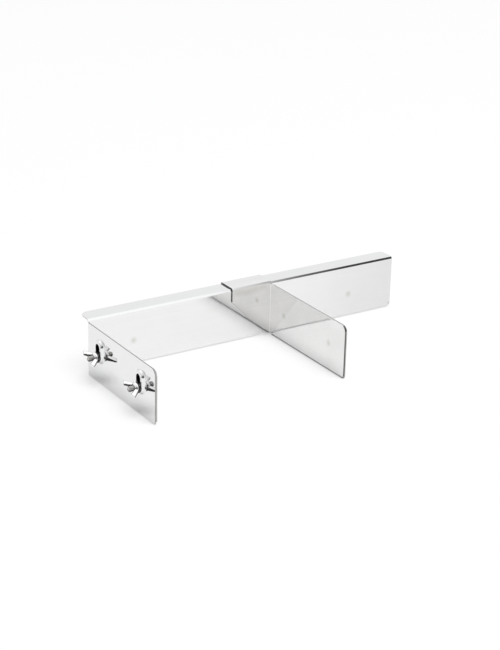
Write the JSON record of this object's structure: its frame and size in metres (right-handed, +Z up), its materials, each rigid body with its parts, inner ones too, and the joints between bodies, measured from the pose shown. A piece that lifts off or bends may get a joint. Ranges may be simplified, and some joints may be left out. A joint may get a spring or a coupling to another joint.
{
  "type": "batter spreader",
  "caption": "Adjustable stainless batter spreader: bent sheet blade with a folded end guide, a sliding saddle guide and slotted guide plates clamped by wing nuts to set width and depth.",
  "frame": {"origin": "on the tray, under the middle of the tool's bounding box", "axes": "+X along the blade away from the fixed guide, +Y from the guides' front edges to the blade's back, +Z up"},
  "size_m": [0.3422, 0.1394, 0.0528],
  "materials": {
    "sheet": "bright polished stainless sheet",
    "hardware": "plain stainless, lightly tumbled"
  },
  "bodies": {
    "blade": {"blade": "sheet", "left_rear_stud": "hardware", "left_front_stud": "hardware", "left_rear_washer": "hardware", "left_front_washer": "hardware"},
    "left_guide": {"left_guide_plate": "sheet"},
    "slider": {"slider_bracket": "sheet", "right_rear_stud": "hardware", "right_front_stud": "hardware", "right_rear_washer": "hardware", "right_front_washer": "hardware"},
    "right_guide": {"right_guide_plate": "sheet"},
    "left_rear_nut": {"left_rear_wing_nut": "hardware"},
    "left_front_nut": {"left_front_wing_nut": "hardware"},
    "right_rear_nut": {"right_rear_wing_nut": "hardware"},
    "right_front_nut": {"right_front_wing_nut": "hardware"}
  },
  "joints": [
    {"name": "slider_width", "type": "slide", "parent": "blade", "child": "slider", "axis": [1, 0, 0], "range_m": [-0.14, 0.135]},
    {"name": "left_guide_height", "type": "slide", "parent": "blade", "child": "left_guide", "axis": [0, 0, 1], "range_m": [-0.0094, 0]},
    {"name": "right_guide_height", "type": "slide", "parent": "slider", "child": "right_guide", "axis": [0, 0, 1], "range_m": [-0.0094, 0]},
    {"name": "left_rear_nut_turn", "type": "hinge", "parent": "blade", "child": "left_rear_nut", "pos_m": [-0.1665, 0.02635, 0.0257], "axis": [-1, 0, 0], "continuous": true},
    {"name": "left_front_nut_turn", "type": "hinge", "parent": "blade", "child": "left_front_nut", "pos_m": [-0.1665, -0.04565, 0.0257], "axis": [-1, 0, 0], "continuous": true},
    {"name": "right_rear_nut_turn", "type": "hinge", "parent": "slider", "child": "right_rear_nut", "pos_m": [0.0423, 0.02635, 0.0257], "axis": [1, 0, 0], "continuous": true},
    {"name": "right_front_nut_turn", "type": "hinge", "parent": "slider", "child": "right_front_nut", "pos_m": [0.0423, -0.04565, 0.0257], "axis": [1, 0, 0], "continuous": true}
  ]
}
